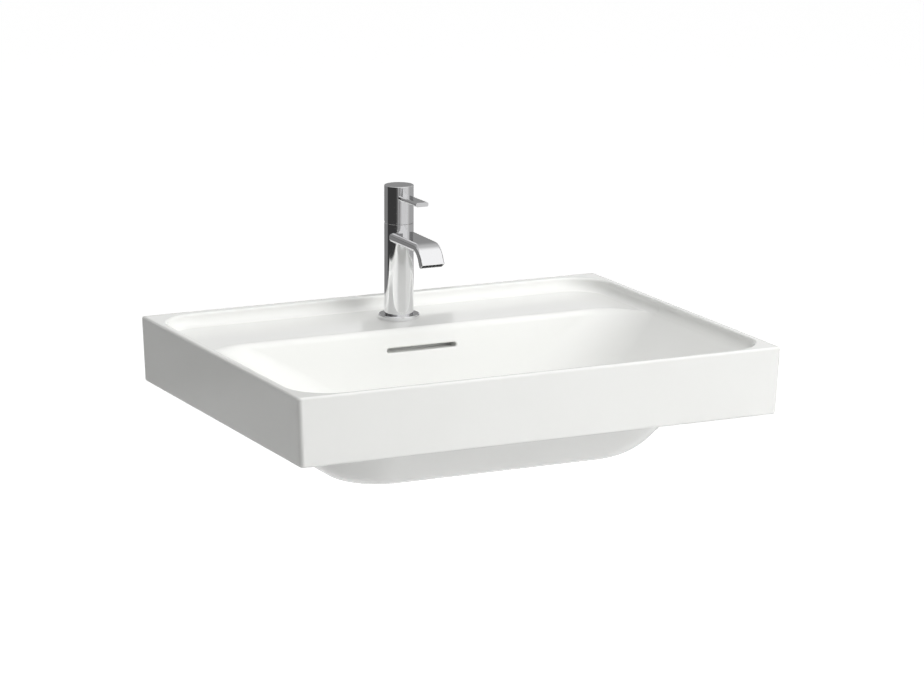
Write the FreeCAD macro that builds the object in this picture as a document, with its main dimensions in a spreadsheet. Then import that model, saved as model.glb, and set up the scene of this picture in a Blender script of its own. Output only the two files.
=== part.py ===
import FreeCAD, Part
import math
import os
from types import SimpleNamespace

import Sketcher
from FreeCAD import Placement, Rotation, Vector

# A wall-hung ceramic washbasin with its single-lever tap and its push-button waste.
# Frame: the origin is midway between the two wall-fixing holes, on the basin's back face.
# +Y points into the wall, +X to the right of someone at the basin, +Z up. Millimetres.

SIZES = {
    # The ceramic basin: outside
    "basin_width": 600,
    "basin_depth": 460,
    "rim_above_holes": 60,
    "slab_height": 79.5,
    "side_draft": 3.4,
    "front_draft": 2.8,
    "outer_corner_radius": 5,
    "rim_edge_radius": 3,
    "base_edge_radius": 3.5,
    # The ceramic basin: rim, ledge and bowl
    "side_rim": 10,
    "front_rim": 8,
    "back_rim": 13,
    "opening_corner_radius": 50,
    "ledge_drop": 15,
    "ledge_cove_radius": 11,
    "ledge_reach": 131,
    "ledge_edge_radius": 7,
    "bowl_depth": 127,
    "bowl_blend": 8,
    "side_slope_start": 10,
    "front_slope_start": 22,
    "floor_half_width": 115,
    "floor_ahead_of_waste": 95,
    "floor_behind_waste": 36,
    "floor_corner_radius": 62,
    "corner_swell": 22,
    # The ceramic basin: underside
    "skirt_wall": 12,
    "deck_wall": 14,
    "funnel_inset": 8,
    "funnel_back_wall": 24,
    "foot_side_wall": 22.4,
    "foot_front_wall": 25.7,
    "foot_back_wall": 25.2,
    "foot_corner_radius": 60,
    "base_side_taper": 17.5,
    "base_front_wall": 17,
    "base_back_wall": 28,
    "base_wall": 16.3,
    "foot_side_radius": 26,
    "foot_front_radius": 12,
    "foot_wall": 10,
    "foot_lip": 8,
    "bowl_wall_out": 8,
    "bowl_wall_down": 10,
    "waste_boss_radius": 44,
    # The ceramic basin: overflow
    "overflow_width": 90,
    "overflow_height": 5.5,
    "overflow_depth": 39,
    "overflow_lip_radius": 2.2,
    "overflow_flat": 0.1,
    "duct_wall": 11,
    "duct_gap": 9,
    "duct_floor_wall": 6.5,
    "duct_floor_gap": 6,
    "duct_floor_width": 40,
    # The ceramic basin: wall fixing, tap hole and waste hole
    "fixing_spacing": 280,
    "fixing_hole_radius": 9,
    "fixing_boss_radius": 24,
    "fixing_boss_length": 22,
    "tap_reach": 71,
    "tap_hole_radius": 17.5,
    "waste_reach": 232,
    "waste_hole_radius": 23,
    "waste_seat_radius": 33.5,
    "waste_seat_depth": 4,
    # Shared small sizes
    "overrun": 2,
    "thread_gap": 0.05,
    "slip_gap": 0.2,
    "moving_gap": 0.3,
    # The tap: base ring and its seal
    "ring_radius": 25,
    "ring_height": 5,
    "ring_bore_radius": 14,
    "ring_edge_radius": 1.6,
    "ring_lift": 0.3,
    "base_seal_outer_radius": 22.4,
    "base_seal_inner_radius": 18.6,
    "base_seal_height": 2,
    # The tap: body
    "tap_radius": 17.5,
    "tap_split_height": 115.1,
    "split_gap": 0.4,
    "spigot_gap": 0.2,
    "spigot_length": 4,
    "cavity_radius": 14.5,
    "cavity_depth": 31.6,
    "port_radius": 2.5,
    "port_side": 6.5,
    "port_back": 4,
    "inlet_radius": 4.5,
    "inlet_depth": 14,
    "stud_forward": 8,
    # The tap: cartridge
    "plate_lift": 0.3,
    "plate_thickness": 4,
    "plate_notch_width": 10,
    "plate_notch_depth": 1.6,
    "outlet_port_radius": 3,
    "outlet_port_forward": 6,
    "port_seal_height": 1.1,
    "port_seal_wall": 1.3,
    "fixed_disc_radius": 10.7,
    "fixed_disc_thickness": 3.2,
    "moving_disc_radius": 7.4,
    "moving_disc_thickness": 3.8,
    "chamber_half_width": 4.6,
    "chamber_half_length": 3,
    "chamber_depth": 1.6,
    "carrier_thickness": 3,
    "socket_radius": 2.5,
    "ball_radius": 2.2,
    "ball_rise": 2.4,
    "ball_neck_radius": 1.5,
    "driver_lift": 0.4,
    "driver_foot_radius": 10.6,
    "driver_foot_height": 5.8,
    "driver_neck_radius": 7,
    "driver_slot_gap": 0.15,
    "driver_slot_front": 5.8,
    "driver_slot_back": 4.4,
    "pivot_rise": 5,
    "pin_radius": 1.5,
    "pin_half_length": 6.6,
    "pin_gap": 0.05,
    "housing_radius": 12.8,
    "housing_cavity_radius": 11,
    "housing_head_gap": 0.5,
    "housing_roof": 2.5,
    "housing_neck_radius": 9.8,
    "housing_neck_height": 6.7,
    "bore_seal_height": 2,
    "nut_gap": 0.1,
    "nut_height": 6,
    "nut_slot_width": 4,
    "nut_slot_depth": 2,
    # The tap: handle and stem
    "cap_height": 45.2,
    "cap_cavity_radius": 14.6,
    "cap_cavity_height": 14,
    "cap_edge_chamfer": 0.5,
    "relief_angle": 16,
    "relief_start": 1.2,
    "lever_width": 16,
    "lever_thickness": 5.2,
    "lever_reach": 65,
    "lever_drop": 10.6,
    "lever_edge_radius": 2.1,
    "lever_root": 9,
    "stem_half_width": 3,
    "stem_half_depth": 2.5,
    "stem_gap": 0.05,
    "stem_top_height": 34,
    "grub_radius": 2.5,
    "grub_height": 25,
    "grub_length": 9,
    "grub_hex_radius": 1.4,
    "grub_hex_depth": 3,
    "plug_button_length": 2.5,
    # The tap: spout
    "spout_root_top": 105.3,
    "spout_root_height": 11.4,
    "spout_root_width": 32,
    "spout_root_corner": 4.2,
    "spout_bend_reach": 72,
    "spout_bend_top": 104.3,
    "spout_bend_height": 10.8,
    "spout_bend_width": 31,
    "spout_tip_reach": 92.2,
    "spout_tip_rise": 79.1,
    "spout_tip_height": 10.4,
    "spout_tip_width": 29.6,
    "spout_tip_corner": 2.2,
    "spout_tip_angle": 58,
    "spout_tip_straight": 5,
    "spout_wall": 1,
    "spout_spigot_width": 26,
    "spout_spigot_height": 6.8,
    "spout_spigot_length": 2.6,
    "insert_length": 4.4,
    "insert_inset": 0.4,
    "insert_web": 1,
    "insert_gap": 0.03,
    # The tap: fixing under the ledge
    "stud_radius": 4,
    "stud_below": 34,
    "stud_hole_gap": 0.3,
    "clamp_radius": 25,
    "clamp_slot_half_width": 12.2,
    "clamp_slot_front": 1.5,
    "pad_thickness": 3,
    "clamp_thickness": 2.5,
    "clamp_nut_radius": 7.5,
    "clamp_nut_height": 6.5,
    # The waste
    "flange_radius": 32,
    "flange_thickness": 2.5,
    "flange_seal_thickness": 1.5,
    "waste_tube_radius": 20.95,
    "waste_bore_radius": 18,
    "tail_length": 9,
    "tail_groove_width": 1.2,
    "tail_groove_depth": 1,
    "window_width": 10,
    "window_height": 6,
    "window_depth": 7,
    "lower_seal_radius": 30,
    "lower_seal_thickness": 4,
    "backnut_radius": 29,
    "backnut_height": 8,
    "waste_slip": 0.15,
    "hub_radius": 8,
    "hub_bore_radius": 6.3,
    "hub_top_depth": 7,
    "hub_bottom_depth": 32,
    "hub_wall": 2,
    "rib_width": 2.4,
    "rib_height": 6,
    "rib_lift": 1,
    "rib_ring_wall": 1.2,
    "plug_radius": 29,
    "plug_lift": 0.5,
    "plug_edge_height": 3,
    "plug_crown": 1.5,
    "plug_round": 1,
    "plug_seal_outer_radius": 25,
    "plug_seal_inner_radius": 22,
    "plug_seal_height": 1.5,
    "plug_stem_radius": 4,
    "plug_stem_grip": 1.8,
    "collar_radius": 6,
    "collar_height": 3,
    "plug_travel": 8,
    "plug_travel_spare": 0.2,
    "spring_radius": 5.2,
    "spring_wire_radius": 0.5,
}

SPRING_TURNS = 4
RIB_COUNT = 3
INSERT_SLOTS = 6
SPOUT_BEND_STEPS = 14
FLARE_STEPS = 5
LEAD_STEPS = 6
COVE_STEPS = 7
EDGE_STEPS = 6
FOOT_STEPS = 8
BOWL_STEPS = 20

# Two places closer than this, in millimetres, count as the same
SAME_PLACE = 1e-6

SIDE_STRAIGHT_SHARE = 0.9
FRONT_STRAIGHT_SHARE = 0.9
BACK_STRAIGHT_SHARE = 0.3
DUCT_SHARES = (0.27, 0.45, 0.63, 0.82)
DUCT_HEEL_SHARE = 0.74
CROWN_SHARE = 0.75

os.makedirs("parts", exist_ok=True)
doc = FreeCAD.newDocument("washbasin")


class Size:
    """A length of the object: its value and the sheet formula that gives it."""

    def __init__(self, value, text):
        self.value = float(value)
        self.text = text

    def join(self, other, sign, result):
        return Size(result, "(%s %s %s)" % (self.text, sign, other.text))

    def __add__(self, other):
        other = as_size(other)
        return self.join(other, "+", self.value + other.value)

    def __sub__(self, other):
        other = as_size(other)
        return self.join(other, "-", self.value - other.value)

    def __mul__(self, other):
        other = as_size(other)
        return self.join(other, "*", self.value * other.value)

    def __truediv__(self, other):
        other = as_size(other)
        return self.join(other, "/", self.value / other.value)

    def __neg__(self):
        return Size(-self.value, "(-1 * %s)" % self.text)


def as_size(number):
    """Takes a plain count or zero as it is, next to named sizes."""
    return number if isinstance(number, Size) else Size(number, "(%s)" % number)


def write_sheet():
    """Puts every named size in the sheet and returns them by name."""
    sheet = doc.addObject("Spreadsheet::Sheet", "sheet")
    named = {}
    for row, (name, value) in enumerate(SIZES.items(), start=1):
        sheet.set("A%d" % row, name)
        sheet.set("B%d" % row, str(value))
        sheet.setAlias("B%d" % row, name)
        named[name] = Size(value, "sheet." + name)
    doc.recompute()
    return SimpleNamespace(**named)


d = write_sheet()
ZERO = as_size(0)
SUBPARTS = []


def bind(target, prop, size):
    """Ties one property of an object to the sheet."""
    target.setExpression(prop, as_size(size).text)


class Piece:
    """One sub-part made as a body: its label, its place and its features."""

    def __init__(self, label, origin):
        self.body = doc.addObject("PartDesign::Body", label)
        self.body.Label = label
        for axis, size in zip("xyz", origin):
            bind(self.body, "Placement.Base." + axis, size)
        SUBPARTS.append(self.body)

    def sketch(self, name, plane, points):
        """A closed outline through points on one of the body's origin planes."""
        sketch = self.body.newObject("Sketcher::SketchObject", name)
        planes = [item for item in self.body.Origin.OriginFeatures if item.Role == plane]
        sketch.AttachmentSupport = (planes[0], [""])
        sketch.MapMode = "FlatFace"
        count = len(points)
        points = [(as_size(across), as_size(up)) for across, up in points]
        for index, (across, up) in enumerate(points):
            after = points[(index + 1) % count]
            start = Vector(across.value, up.value, 0)
            end = Vector(after[0].value, after[1].value, 0)
            sketch.addGeometry(Part.LineSegment(start, end), False)
        for index in range(count):
            sketch.addConstraint(Sketcher.Constraint("Coincident", index, 2, (index + 1) % count, 1))
        for index, point in enumerate(points):
            for kind, size, axis in zip(("DistanceX", "DistanceY"), point, (-2, -1)):
                if size.value == 0:
                    sketch.addConstraint(Sketcher.Constraint("PointOnObject", index, 1, axis))
                    continue
                made = Sketcher.Constraint(kind, -1, 1, index, 1, size.value)
                bind(sketch, "Constraints[%d]" % sketch.addConstraint(made), size)
        return sketch

    def turned(self, name, points, kind="Revolution"):
        """Turns an outline of (radius, height) points about the body's Z axis."""
        profile = self.sketch(name + "_outline", "XZ_Plane", points)
        feature = self.body.newObject("PartDesign::" + kind, name)
        feature.Profile = profile
        feature.ReferenceAxis = (profile, ["V_Axis"])
        feature.Angle = 360
        profile.Visibility = False
        return feature

    def extruded(self, name, plane, points, length, kind="Pad"):
        """Pads or pockets an outline evenly to both sides of its plane."""
        profile = self.sketch(name + "_outline", plane, points)
        feature = self.body.newObject("PartDesign::" + kind, name)
        feature.Profile = profile
        feature.SideType = "Symmetric"
        bind(feature, "Length", length)
        return feature

    def solid(self, kind, name, at, turn=None, **sizes):
        """Adds or cuts a box, cylinder, sphere or prism at a bound place."""
        feature = self.body.newObject("PartDesign::" + kind, name)
        if turn:
            feature.Placement = Placement(Vector(), Rotation(*turn))
        for axis, size in zip("xyz", at):
            bind(feature, "Placement.Base." + axis, size)
        for prop, size in sizes.items():
            bind(feature, prop, size)
        return feature

    def hole(self, name, at, radius, length, turn=None):
        """A round hole that starts at a point and runs along its own Z axis."""
        return self.solid("SubtractiveCylinder", name, at, turn, Radius=radius, Height=length)

    def slot(self, name, low, high):
        """Cuts a square-edged box between two corners."""
        length, width, height = [after - before for before, after in zip(low, high)]
        return self.solid("SubtractiveBox", name, low, None, Length=length, Width=width, Height=height)


def ring(piece, name, inner, outer, low, high):
    """A plain turned ring."""
    return piece.turned(name, [(inner, low), (outer, low), (outer, high), (inner, high)])


def round_edges(piece, base, name, radius, picked):
    """Rounds those edges of a feature that a test of their bounds picks."""
    doc.recompute()
    names = []
    for index, made in enumerate(base.Shape.Edges, start=1):
        if picked(made.BoundBox):
            names.append("Edge%d" % index)
    feature = piece.body.newObject("PartDesign::Fillet", name)
    feature.Base = (base, names)
    bind(feature, "Radius", radius)


def finished(label, shape, origin):
    """A sub-part whose shape comes from free-form surfaces, set at its place."""
    feature = doc.addObject("Part::Feature", label)
    feature.Label = label
    place = Placement(Vector(*[as_size(size).value for size in origin]), Rotation())
    turned = shape.Placement
    feature.Shape = shape
    feature.Placement = place.multiply(turned)
    SUBPARTS.append(feature)
    return feature


# Heights and places shared by several pieces
RIM = d.rim_above_holes
LEDGE = RIM - d.ledge_drop
FLOOR = RIM - d.bowl_depth
TAP = (ZERO, -d.tap_reach, LEDGE)
WASTE = (ZERO, -d.waste_reach, FLOOR)
BODY_TOP = d.tap_split_height
CAVITY_FLOOR = BODY_TOP - d.cavity_depth
PLATE = CAVITY_FLOOR + d.plate_lift
FIXED_DISC = PLATE + d.plate_thickness
MOVING_DISC = FIXED_DISC + d.fixed_disc_thickness
CARRIER = MOVING_DISC + d.moving_disc_thickness
BALL = CARRIER + d.ball_rise
DRIVER = CARRIER + d.carrier_thickness + d.driver_lift
NECK = DRIVER + d.driver_foot_height
PIVOT = NECK + d.pivot_rise
CEILING = NECK + d.housing_head_gap
SHOULDER = CEILING + d.housing_roof
CAP = BODY_TOP + d.split_gap
CAP_TOP = CAP + d.cap_height
RING_TOP = d.ring_lift + d.ring_height
SPIGOT = RING_TOP - d.spigot_length
UNDER_DECK = -d.deck_wall
HUB_FLOOR = d.hub_wall - d.hub_bottom_depth
COLLAR_TOP = -(d.hub_top_depth + d.hub_wall + d.plug_travel + d.plug_travel_spare)
COLLAR = COLLAR_TOP - d.collar_height
CERAMIC_BASE = ZERO - d.base_wall
FOOT_BOTTOM = FLOOR - d.base_wall
FLOOR_FRONT = d.waste_reach + d.floor_ahead_of_waste
FLOOR_BACK = d.waste_reach - d.floor_behind_waste
BACK_RUN = FLOOR_BACK - d.ledge_reach
BACKNUT = CERAMIC_BASE - d.lower_seal_thickness - d.backnut_height
TAIL = BACKNUT - d.tail_groove_width
WASTE_END = TAIL - d.tail_length


def rounded_wire(half_width, front, back, radius, height):
    """Level outline with four straight sides and four round corners (plain numbers)."""
    low, high = Vector(half_width, -front, height), Vector(half_width, -back, height)
    centres = (
        (half_width - radius, -front + radius, -90),
        (half_width - radius, -back - radius, 0),
        (radius - half_width, -back - radius, 90),
        (radius - half_width, -front + radius, 180),
    )
    edges = []
    ends = []
    for x, y, start in centres:
        arc = []
        for turn in (0, 45, 90):
            angle = math.radians(start + turn)
            arc.append(Vector(x + radius * math.cos(angle), y + radius * math.sin(angle), height))
        ends.append(arc)
    for index, arc in enumerate(ends):
        edges.append(Part.Arc(*arc).toShape())
        edges.append(Part.LineSegment(arc[2], ends[(index + 1) % len(ends)][0]).toShape())
    return Part.Wire(edges)


def loft(wires):
    """A closed solid through a row of outlines, straight from each one to the next."""
    return Part.makeLoft(wires, True, True)


def quarter_round(distance, radius):
    """How far a rounded edge of this radius still stands out at a distance along it."""
    if distance >= radius:
        return 0.0
    return radius - math.sqrt(radius ** 2 - (radius - distance) ** 2)


def slope_inset(depth, start, run, straight_share):
    """How far a bowl wall has come in at a depth: a straight part that rounds into the floor."""
    blend = d.bowl_blend.value
    below = depth - start
    if below <= -blend:
        return 0.0
    if below < blend:
        below = (below + blend) ** 2 / (4 * blend)
    share = min(below / (d.bowl_depth.value - start), 1.0)
    rounded = 1 - math.sqrt(1 - share ** 2)
    return run * (straight_share * share + (1 - straight_share) * rounded)


def back_wall(depth):
    """Distance of the bowl's rear wall from the basin's back face at a depth below the rim."""
    start = d.ledge_drop.value
    below = max(depth - start, 0.0)
    share = min(below / (d.bowl_depth.value - start), 1.0)
    rounded = 1 - math.sqrt(1 - share ** 2)
    inset = BACK_RUN.value * (BACK_STRAIGHT_SHARE * share + (1 - BACK_STRAIGHT_SHARE) * rounded)
    return d.ledge_reach.value + inset - quarter_round(below, d.ledge_edge_radius.value)


def bowl_outline(depth):
    """Half-width, front and back of the bowl's inside at a depth below the rim."""
    half = d.basin_width.value / 2 - d.side_rim.value
    front = d.basin_depth.value - d.front_rim.value
    side = slope_inset(depth, d.side_slope_start.value, half - d.floor_half_width.value,
                       SIDE_STRAIGHT_SHARE)
    fore = slope_inset(depth, d.front_slope_start.value, front - FLOOR_FRONT.value,
                       FRONT_STRAIGHT_SHARE)
    return half - side, front - fore, back_wall(depth)


def foot_levels():
    """Half-width, front and back of the foot where it leaves the block and at its bottom."""
    half, front, back = bowl_outline(d.slab_height.value)
    half += d.foot_side_wall.value
    top = (half, front + d.foot_front_wall.value, back - d.foot_back_wall.value)
    bottom = (half - d.base_side_taper.value, FLOOR_FRONT.value + d.base_front_wall.value,
              FLOOR_BACK.value - d.base_back_wall.value)
    return top, bottom


def even_turns(steps):
    """Shares of a quarter round's depth at which it has turned by even angles."""
    return [1 - math.cos(math.pi / 2 * step / steps) for step in range(steps + 1)]


def rim_stations():
    """Depths at which the rounded rim edge is cut, above the rim included."""
    radius = d.rim_edge_radius.value
    return [-d.overrun.value] + [radius * share for share in even_turns(FLARE_STEPS)]


def bowl_stations():
    """Depths at which the bowl is cut: rim edge, wall down to the ledge, ledge's edge, slopes."""
    rim_end, ledge, depth_end = d.rim_edge_radius.value, d.ledge_drop.value, d.bowl_depth.value
    edge_end = ledge + d.ledge_edge_radius.value
    lead = [rim_end + (ledge - rim_end) * step / LEAD_STEPS for step in range(1, LEAD_STEPS)]
    edge = [ledge + d.ledge_edge_radius.value * share for share in even_turns(EDGE_STEPS)]
    slopes = [edge_end + (depth_end - edge_end) * math.sin(math.pi / 2 * step / BOWL_STEPS)
              for step in range(1, BOWL_STEPS + 1)]
    return rim_stations() + lead + edge + slopes


def bowl_tool(out=0.0, down=0.0, rear=0.0):
    """The bowl's inside: long slopes at the sides and front, steep at the back, flat floor.

    With distances out, down and rear it is the same form grown by the china's thickness.
    """
    depth_end = d.bowl_depth.value
    wires = []
    for depth in bowl_stations():
        flare = quarter_round(max(depth, 0.0), d.rim_edge_radius.value)
        half, front, back = bowl_outline(depth)
        share = max(depth, 0.0) / depth_end
        top, bottom = d.opening_corner_radius.value, d.floor_corner_radius.value
        swell = d.corner_swell.value * math.sin(math.pi * share)
        radius = top + (bottom - top) * share + swell + flare
        grown = out + flare
        wires.append(rounded_wire(half + grown, front + grown, back - rear, radius + out,
                                  RIM.value - depth - down))
    return loft(wires)


def ledge_tool():
    """The shallow recess behind the bowl: a level tap ledge with a coved foot to the rim walls."""
    half = d.basin_width.value / 2 - d.side_rim.value
    back = d.back_rim.value
    front = d.ledge_reach.value + 2 * d.opening_corner_radius.value
    cove = d.ledge_cove_radius.value
    foot = [d.ledge_drop.value - cove * share for share in even_turns(COVE_STEPS)]
    wires = []
    for depth in rim_stations() + foot[::-1]:
        flare = quarter_round(max(depth, 0.0), d.rim_edge_radius.value)
        inset = quarter_round(d.ledge_drop.value - max(depth, 0.0), cove)
        radius = d.opening_corner_radius.value + flare - inset
        wires.append(rounded_wire(half + flare - inset, front, back - flare + inset,
                                  radius, RIM.value - depth))
    return loft(wires)


def slab():
    """The outer block: drafted sides and front, soft edges, and a back ground flat for the wall."""
    half, front = d.basin_width.value / 2, d.basin_depth.value
    radius = d.outer_corner_radius.value
    behind = radius + d.overrun.value
    top = rounded_wire(half, front, -behind, radius, RIM.value)
    low = RIM.value - d.slab_height.value
    bottom = rounded_wire(half - d.side_draft.value, front - d.front_draft.value, -behind, radius, low)
    block = loft([top, bottom])
    for height, size in ((RIM.value, d.rim_edge_radius), (low, d.base_edge_radius)):
        loop = [edge for edge in block.Edges if level_edge(edge, height)]
        block = block.makeFillet(size.value, loop)
    wall = Part.makeBox(2 * half, 2 * behind, 2 * d.slab_height.value,
                        Vector(-half, 0, RIM.value - 2 * d.slab_height.value + behind))
    return block.cut(wall)


def level_edge(edge, height):
    """True for an edge that lies level at a height."""
    box = edge.BoundBox
    return abs(box.ZMin - height) < SAME_PLACE and abs(box.ZMax - height) < SAME_PLACE


def foot_wire(above):
    """Outline of the foot's outside at a height above its bottom, rounded in towards it."""
    top, bottom = foot_levels()
    tall = RIM.value - d.slab_height.value - FOOT_BOTTOM.value
    rise = above / tall
    inset = quarter_round(above, d.foot_side_radius.value)
    ahead = quarter_round(above, d.foot_front_radius.value)
    half, front, back = [low + (high - low) * rise for high, low in zip(top, bottom)]
    return rounded_wire(half - inset, front - ahead, back + ahead,
                        d.foot_corner_radius.value - ahead, FOOT_BOTTOM.value + above)


def under_shell():
    """The outside of the bowl: a funnel inside the skirt, then the foot seen below the slab."""
    inset = d.funnel_inset.value
    funnel = rounded_wire(d.basin_width.value / 2 - inset, d.basin_depth.value - inset,
                          d.ledge_reach.value - d.funnel_back_wall.value,
                          d.foot_corner_radius.value, LEDGE.value - d.deck_wall.value)
    foot = [RIM.value - d.slab_height.value - FOOT_BOTTOM.value]
    foot += [d.foot_side_radius.value * share for share in even_turns(FOOT_STEPS)[::-1]]
    return loft([funnel] + [foot_wire(above) for above in foot])


def foot_hollow():
    """The open space inside the foot, round the bowl, clear of the waste and the overflow duct."""
    wall = d.foot_wall.value
    low = FOOT_BOTTOM.value - d.overrun.value
    high = RIM.value - d.slab_height.value
    corner = d.foot_corner_radius.value - wall
    mouth = d.foot_side_radius.value + d.foot_lip.value
    top, bottom = foot_levels()
    levels = (
        (top, wall, high),
        (bottom, wall, low + d.foot_side_radius.value),
        (bottom, mouth, low),
    )
    hollow = loft([rounded_wire(half - inset, front - inset, back, corner, height)
                   for (half, front, back), inset, height in levels])
    rear = d.duct_wall.value + d.duct_gap.value + wall
    hollow = hollow.cut(bowl_tool(d.bowl_wall_out.value, d.bowl_wall_down.value, rear))
    tall = RIM.value - low
    at = Vector(0, -d.waste_reach.value, low)
    boss = d.waste_boss_radius.value
    hollow = hollow.cut(Part.makeCylinder(boss, tall, at))
    block = Part.makeBox(2 * boss, d.waste_reach.value, tall, at + Vector(-boss, 0, 0))
    return hollow.cut(block)


def skirt_hollow():
    """The open space under the ledge and around the bowl, inside the skirt."""
    wall = d.skirt_wall.value
    half = d.basin_width.value / 2 - d.side_draft.value - wall
    front = d.basin_depth.value - d.front_draft.value - wall
    low = RIM.value - d.slab_height.value - d.overrun.value
    outline = rounded_wire(half, front, wall, wall, low)
    height = LEDGE.value - d.deck_wall.value - low
    return Part.Face(outline).extrude(Vector(0, 0, height))


def prism(points, width):
    """Solid of an outline in the YZ plane, evenly wide to both sides."""
    corners = [Vector(-width / 2, y, z) for y, z in points]
    face = Part.Face(Part.makePolygon(corners + corners[:1]))
    return face.extrude(Vector(width, 0, 0))


def slot_tool():
    """The overflow slot, level through the bowl's rear wall, with its mouth rounded over."""
    depth, tall = d.overflow_depth.value, d.overflow_height.value / 2
    lean = math.atan2(back_wall(depth + tall) - back_wall(depth - tall), 2 * tall)
    lip = d.overflow_lip_radius.value
    behind = d.duct_wall.value + d.duct_gap.value / 2
    distances = [behind] + [lip * share for share in even_turns(FLARE_STEPS)[::-1]] + [-2 * lip]
    leaning = Rotation(Vector(1, 0, 0), 90 - math.degrees(lean))
    wires = []
    for distance in distances:
        grown = quarter_round(max(distance, 0.0), lip)
        half, rise = d.overflow_width.value / 2 + grown, tall + grown
        wire = rounded_wire(half, rise, -rise, rise - d.overflow_flat.value, 0)
        at = Vector(0, distance - back_wall(depth), RIM.value - depth)
        wire.Placement = Placement(at, leaning)
        wires.append(wire)
    return loft(wires)


def overflow_tools():
    """The overflow: a slot in the rear bowl wall, a duct behind it and a run to the waste hole."""
    wall, gap = d.duct_wall.value, d.duct_gap.value
    depth_end = d.bowl_depth.value
    near = []
    far = []
    for share in DUCT_SHARES:
        depth = share * depth_end
        near.append((-back_wall(depth) + wall, RIM.value - depth))
        far.append((-back_wall(depth) + wall + gap, RIM.value - depth))
    run_top = FLOOR.value - d.duct_floor_wall.value
    run_low = run_top - d.duct_floor_gap.value
    heel = -(d.ledge_reach.value + BACK_RUN.value * DUCT_HEEL_SHARE)
    lower = [(heel, run_top), (heel + gap / 2, run_low)]
    duct = prism(near + lower + far[::-1], d.overflow_width.value)
    hole = -d.waste_reach.value + d.waste_hole_radius.value
    end = hole - d.duct_floor_gap.value
    run = prism([(heel + gap / 2, run_low), (heel, run_top), (end, run_top), (end, run_low)],
                d.duct_floor_width.value)
    return [slot_tool(), duct, run]


def make_basin():
    """The vitreous china basin in one piece, glazed all over."""
    inside = bowl_tool().fuse(ledge_tool())
    shell = under_shell()
    body = slab().cut(skirt_hollow())
    for side in (-1, 1):
        at = Vector(side * d.fixing_spacing.value / 2, 0, 0)
        body = body.fuse(Part.makeCylinder(d.fixing_boss_radius.value, d.fixing_boss_length.value,
                                           at, Vector(0, -1, 0)))
    body = body.fuse(shell).cut(inside).cut(foot_hollow())
    for tool in overflow_tools():
        body = body.cut(tool)
    over = d.overrun.value
    for side in (-1, 1):
        at = Vector(side * d.fixing_spacing.value / 2, over, 0)
        body = body.cut(Part.makeCylinder(d.fixing_hole_radius.value,
                                          d.fixing_boss_length.value + 2 * over, at, Vector(0, -1, 0)))
    tap = Vector(0, -d.tap_reach.value, LEDGE.value - d.deck_wall.value - over)
    body = body.cut(Part.makeCylinder(d.tap_hole_radius.value, d.deck_wall.value + 2 * over, tap))
    waste = Vector(0, -d.waste_reach.value, FOOT_BOTTOM.value - over)
    through = d.base_wall.value + 2 * over
    body = body.cut(Part.makeCylinder(d.waste_hole_radius.value, through, waste))
    seat = Vector(0, -d.waste_reach.value, FLOOR.value - d.waste_seat_depth.value)
    body = body.cut(Part.makeCylinder(d.waste_seat_radius.value, d.waste_seat_depth.value + over, seat))
    if len(body.Solids) != 1:
        raise RuntimeError("the basin is not one solid")
    return finished("basin", body.Solids[0], (ZERO, ZERO, ZERO))


# The tap stands on the ledge: base ring, seal and body

def make_base_seal():
    """Rubber ring that seals the base ring to the ledge."""
    piece = Piece("base_seal", TAP)
    ring(piece, "seal", d.base_seal_inner_radius, d.base_seal_outer_radius, ZERO, d.base_seal_height)


def make_base_ring():
    """Chromed brass ring that spreads the tap's foot and holds the seal in a groove."""
    piece = Piece("base_ring", TAP)
    low = d.ring_lift
    inner, outer = d.base_seal_inner_radius, d.base_seal_outer_radius
    groove = d.base_seal_height
    turned = piece.turned("ring", [
        (d.ring_bore_radius, low), (inner, low), (inner, groove), (outer, groove), (outer, low),
        (d.ring_radius, low), (d.ring_radius, RING_TOP), (d.ring_bore_radius, RING_TOP)])
    round_edges(piece, turned, "ring_edge", d.ring_edge_radius, lambda box: (
        box.ZMin > RING_TOP.value - SAME_PLACE and box.XMax > d.ring_radius.value - SAME_PLACE))


def make_tap_body():
    """Chromed brass column: cartridge cavity on top, two inlets and the stud thread below."""
    piece = Piece("tap_body", TAP)
    spigot = d.ring_bore_radius - d.spigot_gap
    piece.turned("column", [
        (ZERO, SPIGOT), (spigot, SPIGOT), (spigot, RING_TOP), (d.tap_radius, RING_TOP),
        (d.tap_radius, BODY_TOP), (d.cavity_radius, BODY_TOP), (d.cavity_radius, CAVITY_FLOOR),
        (ZERO, CAVITY_FLOOR)])
    for name, side in (("cold", 1), ("hot", -1)):
        x = d.port_side * side
        piece.hole(name + "_channel", (x, d.port_back, SPIGOT), d.port_radius, CAVITY_FLOOR - SPIGOT
                   + d.overrun)
        piece.hole(name + "_thread", (x, d.port_back, SPIGOT - d.overrun), d.inlet_radius,
                   d.inlet_depth + d.overrun)
    piece.hole("stud_thread", (ZERO, -d.stud_forward, SPIGOT - d.overrun), d.stud_radius,
               d.inlet_depth + d.overrun)
    half = d.spout_spigot_width / 2
    middle = d.spout_root_top - d.spout_root_height / 2
    rise = d.spout_spigot_height / 2
    piece.slot("spout_port", (-half, -(d.tap_radius + d.overrun), middle - rise),
               (half, -d.port_back, middle + rise))


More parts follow.
